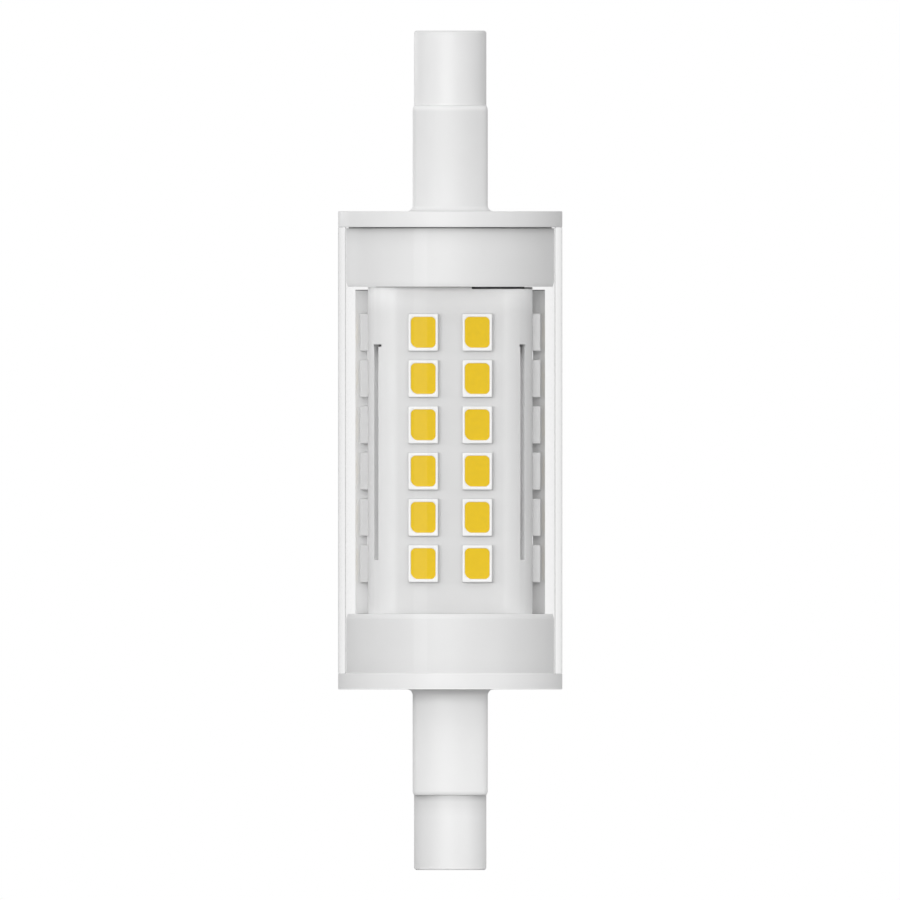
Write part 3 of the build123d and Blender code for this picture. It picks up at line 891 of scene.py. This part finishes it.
def slot_floor(sizes, middle, side, low, high):
    """Floor of one blind slot: a curved strip in the back of the sheet, which sinks away below the open head."""
    half, face, bend = CARRIER_HIGH.x, -CARRIER_LOW.y, sizes.carrier_bend
    bite, run_out, sheet = sizes.slot_bite, sizes.slot_run_out, sizes.carrier_sheet
    heights = np.array((low - bite, high - run_out, high - run_out / 2, high - sizes.slot_open))
    depths = np.array((sizes.slot_depth, sizes.slot_depth, *[share * sheet for share in SLOT_SINK]))
    reach = np.arcsin((sizes.slot_width / 2 + bite) / (bend - sheet)) + sizes.slot_slant
    turn = np.linspace(middle - reach, middle + reach, FOLD_POINTS)[:, None]

    def skin(depth):
        radius = bend - depth
        x, y = half - bend + radius * np.cos(turn), -(face - bend) - radius * np.sin(turn)
        return np.stack(np.broadcast_arrays(side * x, y, heights), -1)[::side]

    present = np.ones((len(turn) - 1, len(heights) - 1), bool)
    return sheet_solid(skin(depths)[::-1], skin(np.full(len(heights), sheet))[::-1], present)


def tab_lines(sizes, half):
    """The carriers' middle height, half the tabs' spacing, and the four edges of tabs of that half length."""
    middle, spacing = (CARRIER_LOW.z + CARRIER_HIGH.z) / 2, sizes.tab_spacing / 2
    return middle, spacing, [middle + sign * spacing + edge * half for sign in (-1, 1) for edge in (-1, 1)]


def carrier_shell(sizes):
    """The front carrier: its section carried along the lamp, with cells left out.

    Left out are the slots with a short cross cut at their upper ends, the gaps between the tabs, and the
    strip beside the raised part of the top edge. A strip closes the back of each slot.
    """
    low, high = CARRIER_LOW.z, CARRIER_HIGH.z
    half_tab = sizes.tab_length / 2
    middle, spacing, tabs = tab_lines(sizes, half_tab)
    slot = (low + sizes.slot_web_bottom, high - sizes.slot_web_top)
    head = slot[1] - sizes.head_height
    heights = np.unique([low, high, high + sizes.step_height, *tabs, *slot, head])
    slants = np.interp(heights, slot, (0.0, np.degrees(sizes.slot_slant)))
    outer = np.stack([fold_path(sizes, 0.0, 0.0)] * len(heights), 1)
    inner = np.stack([fold_path(sizes, sizes.carrier_sheet, slant) for slant in slants], 1)
    faces = [raised(grid, heights[None, :, None]) for grid in (outer, inner)]
    cell_x = (faces[0][:-1, 0, 0] + faces[0][1:, 0, 0]) / 2
    cell_z = (heights[:-1] + heights[1:]) / 2
    in_tab = np.abs(np.abs(cell_z - middle) - spacing) < half_tab
    in_slot = (cell_z > slot[0]) & (cell_z < slot[1])
    present = (cell_z < high) | (cell_x[:, None] < sizes.step_place)
    present[[0, -1]] = in_tab
    left = LEG_POINTS + FOLD_POINTS
    right = len(present) - 1 - left
    present[[left, right]] &= ~in_slot
    present[[left - 1, left + 1, right - 1, right + 1]] &= ~(in_slot & (cell_z > head))
    return joined([
        sheet_solid(*faces, present),
        slot_floor(sizes, sizes.left_slot_turn, -1, *slot), slot_floor(sizes, sizes.right_slot_turn, 1, *slot),
    ])


def board_shell(sizes):
    """The driver board: a grid of cells cut at every edge of its outline and openings, with those left out."""
    half, bottom = BOARD_HIGH.x, CARRIER_LOW.z
    top = bottom + sizes.board_height
    can_low, can_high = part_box("smoothing_capacitor")
    can = (can_low.z - sizes.capacitor_gap, can_high.z)
    can_body = can_high.z - sizes.capacitor_lead + sizes.capacitor_gap
    leg = CARRIER_HIGH.x - sizes.carrier_sheet / 2
    leg_half = sizes.carrier_sheet / 2 + sizes.tab_clearance
    tab_half = sizes.tab_length / 2 + sizes.tab_clearance
    middle, spacing, tabs = tab_lines(sizes, tab_half)
    notch, notch_half = sizes.notch_spacing / 2, sizes.notch_half_width

    half_lines = [
        half, sizes.tongue_half_width, sizes.window_half_width, leg - leg_half, leg + leg_half,
        notch - notch_half, notch + notch_half,
    ]
    x_lines = np.unique(np.concatenate([np.array(half_lines), -np.array(half_lines)]))
    z_lines = np.unique([BOARD_LOW.z, BOARD_HIGH.z, top, bottom, can[0], can_body, can[1], *tabs])
    x, z = np.meshgrid((x_lines[:-1] + x_lines[1:]) / 2, (z_lines[:-1] + z_lines[1:]) / 2, indexing="ij")
    x = np.abs(x)
    plate = (z > bottom) & (z < top) | (x < sizes.tongue_half_width)
    window = (x < sizes.window_half_width) & (z > can[0]) & (z < can_body)
    notches = (np.abs(x - notch) < notch_half) & (z > can_body) & (z < can[1])
    slots = (np.abs(x - leg) < leg_half) & (np.abs(np.abs(z - middle) - spacing) < tab_half)
    present = plate & ~window & ~notches & ~slots
    grid = np.stack(np.meshgrid(x_lines, [0.0], z_lines, indexing="ij"), -1)[:, 0]
    thickness = np.array((0.0, BOARD_HIGH.y, 0.0))
    return sheet_solid(grid - thickness, grid + thickness, present)


# Operators


class LAMP_OT_clear_tube(Operator):
    """Make the clear tube: a wall profile carried round the axis."""

    bl_idname = "lamp.clear_tube"
    bl_label = "Clear tube"

    def execute(self, context):
        sizes, colours = context.scene.lamp_sizes, context.scene.lamp_colours
        outer, inner, end = sizes.tube_radius, sizes.tube_radius - sizes.tube_wall, TUBE_HIGH.z
        edge = sizes.flange_round
        profile = [
            (outer, edge - end), (outer, end - edge), (outer - edge, end), (inner + edge, end),
            (inner, end - edge), (inner, edge - end), (inner + edge, -end), (outer - edge, -end),
        ]
        shell = loft(turned(profile, TUBE_POINTS), last="join")
        tube = add_piece("tube", shell, clear_finish(colours.tube), ["clear_tube"])
        tag(tube, "outer_skin", np.repeat([float(radius == outer) for radius, _ in profile], TUBE_POINTS))
        return {"FINISHED"}


class LAMP_OT_end_caps(Operator):
    """Make both end caps from one moulding, turned over for the lower one."""

    bl_idname = "lamp.end_caps"
    bl_label = "End caps"

    def execute(self, context):
        sizes = context.scene.lamp_sizes
        floor, flange, neck, tip = cap_levels(sizes)
        rim = CAP_LOW.z
        # The bands paint shade under the upper flange, along the upper neck, on the lower collar and on the lower
        # pin below its neck, and paint light at the upper neck's root and end, the lower collar's bevel, the lower
        # flange's edge and the lower pin's end
        finish = plastic_finish(context.scene.lamp_colours.plastic, [
            (floor - sizes.root_painted_shade_reach, floor, ROOT_PAINTED_SHADE), (flange, neck, NECK_PAINTED_LIGHT_AND_SHADE),
            (-neck - sizes.pin_painted_shadow_reach, -neck, PIN_PAINTED_SHADOW), (-rim - sizes.collar_lead_in_height, -rim, RIM_PAINTED_LIGHT),
            (-floor, -rim, LOW_COLLAR_PAINTED_SHADE), (-flange, -flange + sizes.low_edge_painted_highlight_reach, LOW_EDGE_PAINTED_HIGHLIGHT),
            (-tip, -tip + sizes.pin_end_painted_light_reach, PIN_END_PAINTED_LIGHT),
        ])
        for end, undercut in (("upper", sizes.collar_undercut), ("lower", 0.0)):
            points, faces = joined([cap_shell(sizes, undercut), rib_shell(sizes, 1), rib_shell(sizes, -1)])
            points = half_turn(points, 1) if end == "lower" else points
            add_piece(f"{end}_cap", (points, faces), finish, [f"{end}_end_cap"], crease=20.0)
        return {"FINISHED"}


class LAMP_OT_contacts(Operator):
    """Make the contact rivets: a turned head, shank and tail."""

    bl_idname = "lamp.contacts"
    bl_label = "Contacts"

    def execute(self, context):
        sizes = context.scene.lamp_sizes
        finish = contact_finish(context.scene.lamp_colours.contact)
        top = CAP_HIGH.z - sizes.recess_depth
        head = top - sizes.contact_thickness
        web = head - sizes.shank_length
        tail = web - sizes.tail_thickness
        soft = sizes.contact_round
        profile = [
            (POLE, tail), (sizes.tail_radius - soft, tail),
            *arc((sizes.tail_radius - soft, tail + soft), soft, -60, 0, 4), (sizes.tail_radius, web),
            (sizes.shank_radius, web), (sizes.shank_radius, head), (sizes.contact_radius, head),
            *arc((sizes.contact_radius - soft, top - soft), soft, 0, 90, 6), (POLE, top),
        ]
        points, faces = loft(turned(profile, RIVET_POINTS), "flat", "flat")
        for end, places in (("upper", points), ("lower", half_turn(points, 1))):
            add_piece(f"{end}_rivet", (places, faces), finish, [f"{end}_contact"])
        return {"FINISHED"}


class LAMP_OT_driver_board(Operator):
    """Make the driver board with its tongues, capacitor window, notches and tab slots."""

    bl_idname = "lamp.driver_board"
    bl_label = "Driver board"

    def execute(self, context):
        sizes = context.scene.lamp_sizes
        finish = mask_finish(context.scene.lamp_colours.mask, sizes)
        add_piece("board", board_shell(sizes), finish, ["driver_board"], bevel=sizes.sheet_edge)
        return {"FINISHED"}


class LAMP_OT_carriers(Operator):
    """Make the two folded LED carriers, the rear one half a turn from the front one."""

    bl_idname = "lamp.carriers"
    bl_label = "LED carriers"

    def execute(self, context):
        sizes = context.scene.lamp_sizes
        finish = coating_finish(context.scene.lamp_colours.coating, sizes)
        points, faces = carrier_shell(sizes)
        for side, places in (("front", points), ("rear", half_turn(points, 2))):
            add_piece(
                f"{side}_light_engine", (places, faces), finish, [f"{side}_carrier"],
                bevel=sizes.sheet_edge,
            )
        return {"FINISHED"}


class LAMP_OT_led_packages(Operator):
    """Make the LED packages of all eight columns, housings and phosphor apart."""

    bl_idname = "lamp.led_packages"
    bl_label = "LED packages"

    def execute(self, context):
        sizes, colours = context.scene.lamp_sizes, context.scene.lamp_colours
        white = housing_finish(colours.housing)
        yellow = grained(
            "phosphor", colours.phosphor, 0.03, 2600.0, (0.45, 0.55), (14000.0, 3.0, 0.006 * MM, 0.5), specular=0.12
        )
        for face in ("front", "rear"):
            for column in ("face_left", "face_right", "side_left", "side_right"):
                node = f"{face}_{column}"
                axes, seats, package = column_places(f"{node}_led_housings", sizes)
                housing, fill = led_shells(sizes, *package)
                packages = add_piece(
                    f"{node}_packages", repeated(housing, axes, seats), white,
                    [f"{node}_led_housings"],
                )
                tag(packages, "rise", np.tile(housing_rise(housing, package[2]), len(seats)))
                add_piece(
                    f"{node}_phosphor_fill", repeated(fill, axes, seats), yellow,
                    [f"{node}_phosphor"],
                )
        return {"FINISHED"}


class LAMP_OT_driver_parts(Operator):
    """Give the leads and the driver's small parts their finishes."""

    bl_idname = "lamp.driver_parts"
    bl_label = "Driver parts"

    def execute(self, context):
        colours = context.scene.lamp_colours
        ferrite_grain, package_grain = (9000.0, 3.0, 0.01 * MM, 0.5), (9000.0, 3.0, 0.008 * MM, 0.5)
        finishes = (
            (grained("wire_insulation", colours.insulation, 0.02), "upper_lead", "lower_lead"),
            (grained("capacitor_sleeve", colours.sleeve, 0.15, rough=(0.25, 0.35)), "smoothing_capacitor"),
            (grained("ferrite", colours.ferrite, 0.25, 2500.0, (0.6, 0.75), ferrite_grain), "choke"),
            (grained("ceramic_body", colours.ceramic, 0.06, 1500.0, (0.4, 0.5)), "ceramic_capacitor"),
            (
                grained("package_black", colours.package, 0.15, rough=(0.5, 0.65), grain=package_grain),
                "bridge_rectifier", "driver_chip", "freewheel_diode",
            ),
            (
                grained("resistor_coating", colours.resistor, 0.08, rough=(0.3, 0.4)),
                "fusible_resistor", "sense_resistors",
            ),
        )
        for finish, *nodes in finishes:
            for node in nodes:
                paint(node, finish)
        return {"FINISHED"}


class LAMP_OT_studio(Operator):
    """Set the floor, the room's light, the lamps and the camera."""

    bl_idname = "lamp.studio"
    bl_label = "Studio"

    def execute(self, context):
        scene, studio = context.scene, context.scene.lamp_studio
        self.make_floor(scene)
        self.make_room(scene, studio)
        key = self.make_softbox(scene, "key_softbox", (-10.0, 3.5), 1.0, (0.75, 0.22), studio.key_power)
        fill = self.make_fill(scene, studio.fill_power)
        self.make_softbox(scene, "top_softbox", (-20.0, 87.0), 0.60, (0.30, 0.30), studio.top_power)
        side = self.make_softbox(scene, "side_softbox", (-60.0, 4.0), 1.0, (0.25, 0.25), studio.side_power)
        rim = self.make_softbox(scene, "rim_softbox", (-142.0, 5.0), 1.0, (0.30, 0.30), studio.rim_power)
        strip = self.make_softbox(scene, "strip_softbox", (-30.5, 0.0), 0.40, (0.10, 0.5), studio.strip_power)
        self.link_lamps([key, fill], ["tube"], "EXCLUDE")
        self.link_lamps([side], ["front_light_engine", "rear_light_engine", "board"], "INCLUDE")
        self.link_lamps([rim], ["upper_cap"], "INCLUDE")
        self.link_lamps([strip], ["tube"], "INCLUDE")
        camera = bpy.data.cameras.new("photo_camera")
        camera.type, camera.ortho_scale = "ORTHO", studio.view_height
        camera.clip_start, camera.clip_end = 0.01, 10.0
        eye = bpy.data.objects.new("photo_camera", camera)
        eye.location, eye.rotation_euler = CAMERA_PLACE, (radians(90.0), 0.0, 0.0)
        scene.collection.objects.link(eye)
        scene.camera = eye
        scene.view_settings.view_transform = "Standard"
        return {"FINISHED"}

    @staticmethod
    def make_floor(scene):
        """A wide pale floor, a little below the end of the lower pin."""
        ground = cad_box[0].z - FLOOR_GAP
        corners = [(x * FLOOR_HALF, y * FLOOR_HALF, ground) for x, y in ((-1, -1), (1, -1), (1, 1), (-1, 1))]
        mesh = bpy.data.meshes.new("floor")
        mesh.from_pydata(corners, [], [(0, 1, 2, 3)])
        mesh.materials.append(floor_finish(scene.lamp_colours.floor, scene.lamp_studio.bounce))
        floor = bpy.data.objects.new("floor", mesh)
        scene.collection.objects.link(floor)

    @staticmethod
    def make_room(scene, studio):
        """A room that is white to the eye and through the tube, soft as light, and dim in front to reflections."""
        world = bpy.data.worlds.new("studio_room")
        world.use_nodes = True
        tree = world.node_tree
        tree.nodes.clear()
        path = add(tree, "LightPath").outputs
        way = add(tree, "TexCoord").outputs["Generated"]
        axes = add(tree, "SeparateXYZ", {"Vector": way}).outputs
        side = mapped(tree, axes["X"], *SIDE_SPAN, studio.left, studio.right, "SMOOTHSTEP")
        mirrored = mapped(tree, axes["Y"], *DEPTH_SPAN, studio.front, studio.back, "SMOOTHSTEP")
        overhead = mapped(tree, axes["Z"], *HEIGHT_SPAN, 1.0, studio.overhead, "SMOOTHSTEP")
        rooms = [
            add(tree, "Background", {"Color": WHITE, "Strength": strength}).outputs["Background"]
            for strength in (maths(tree, "MULTIPLY", side, overhead), mirrored, 1.0)
        ]
        seen = maths(tree, "MAXIMUM", path["Is Camera Ray"], path["Is Transmission Ray"])
        lit = add(tree, "MixShader", {0: path["Is Glossy Ray"], 1: rooms[0], 2: rooms[1]})
        whole = add(tree, "MixShader", {0: seen, 1: lit.outputs["Shader"], 2: rooms[2]})
        add(tree, "OutputWorld", {"Surface": whole.outputs["Shader"]})
        scene.world = world

    @staticmethod
    def set_up(scene, light, place, aim):
        """A lamp at its place, turned to its aim."""
        lamp = bpy.data.objects.new(light.name, light)
        lamp.location, lamp.rotation_euler = place, (place - aim).to_track_quat("Z", "Y").to_euler()
        scene.collection.objects.link(lamp)
        return lamp

    def make_softbox(self, scene, name, direction, distance, size, watts):
        """A soft rectangular lamp at an azimuth and elevation in degrees, aimed at the middle of the lamp."""
        azimuth, elevation = np.radians(direction)
        place = distance * Vector((
            np.sin(azimuth) * np.cos(elevation), -np.cos(azimuth) * np.cos(elevation), np.sin(elevation),
        ))
        light = bpy.data.lights.new(name, "AREA")
        light.shape, light.energy = "RECTANGLE", watts
        light.size, light.size_y = size
        return self.set_up(scene, light, place, Vector((0.0, 0.0, 0.0)))

    def make_fill(self, scene, watts):
        """A spot with a soft edge that lifts the lower end on its right side."""
        light = bpy.data.lights.new("fill_spot", "SPOT")
        light.energy, light.shadow_soft_size = watts, FILL_RADIUS
        light.spot_size, light.spot_blend = FILL_CONE, 1.0
        return self.set_up(scene, light, FILL_PLACE, FILL_AIM)

    @staticmethod
    def link_lamps(lamps, pieces, state):
        """Keeps lamps to certain pieces or off them."""
        group = bpy.data.collections.new(f"pieces_of_{lamps[0].name}")
        for place, piece in enumerate(pieces):
            group.objects.link(bpy.data.objects[piece])
            group.collection_objects[place].light_linking.link_state = state
        for lamp in lamps:
            lamp.light_linking.receiver_collection = group


OPERATORS = (
    LAMP_OT_clear_tube, LAMP_OT_end_caps, LAMP_OT_contacts, LAMP_OT_driver_board, LAMP_OT_carriers,
    LAMP_OT_led_packages, LAMP_OT_driver_parts, LAMP_OT_studio,
)


class LAMP_PT_sidebar(Panel):
    """Buttons for every piece of the lamp and its studio."""

    bl_label = "LED lamp"
    bl_idname = "LAMP_PT_sidebar"
    bl_space_type = "VIEW_3D"
    bl_region_type = "UI"
    bl_category = "Lamp"

    def draw(self, context):
        for operator in OPERATORS:
            self.layout.operator(operator.bl_idname)
        for group in (context.scene.lamp_sizes, context.scene.lamp_colours, context.scene.lamp_studio):
            column = self.layout.column()
            for name in group.__annotations__:
                column.prop(group, name, text=name.replace("_", " ").capitalize())


CLASSES = (LampSizes, LampColours, LampStudio, *OPERATORS, LAMP_PT_sidebar)


def register():
    for cls in CLASSES:
        bpy.utils.register_class(cls)
    bpy.types.Scene.lamp_sizes = PointerProperty(type=LampSizes)
    bpy.types.Scene.lamp_colours = PointerProperty(type=LampColours)
    bpy.types.Scene.lamp_studio = PointerProperty(type=LampStudio)


def unregister():
    del bpy.types.Scene.lamp_sizes, bpy.types.Scene.lamp_colours, bpy.types.Scene.lamp_studio
    for cls in reversed(CLASSES):
        bpy.utils.unregister_class(cls)


def main():
    register()
    bpy.ops.lamp.clear_tube()
    bpy.ops.lamp.end_caps()
    bpy.ops.lamp.contacts()
    bpy.ops.lamp.driver_board()
    bpy.ops.lamp.carriers()
    bpy.ops.lamp.led_packages()
    bpy.ops.lamp.driver_parts()
    bpy.ops.lamp.studio()


if __name__ == "__main__":
    main()
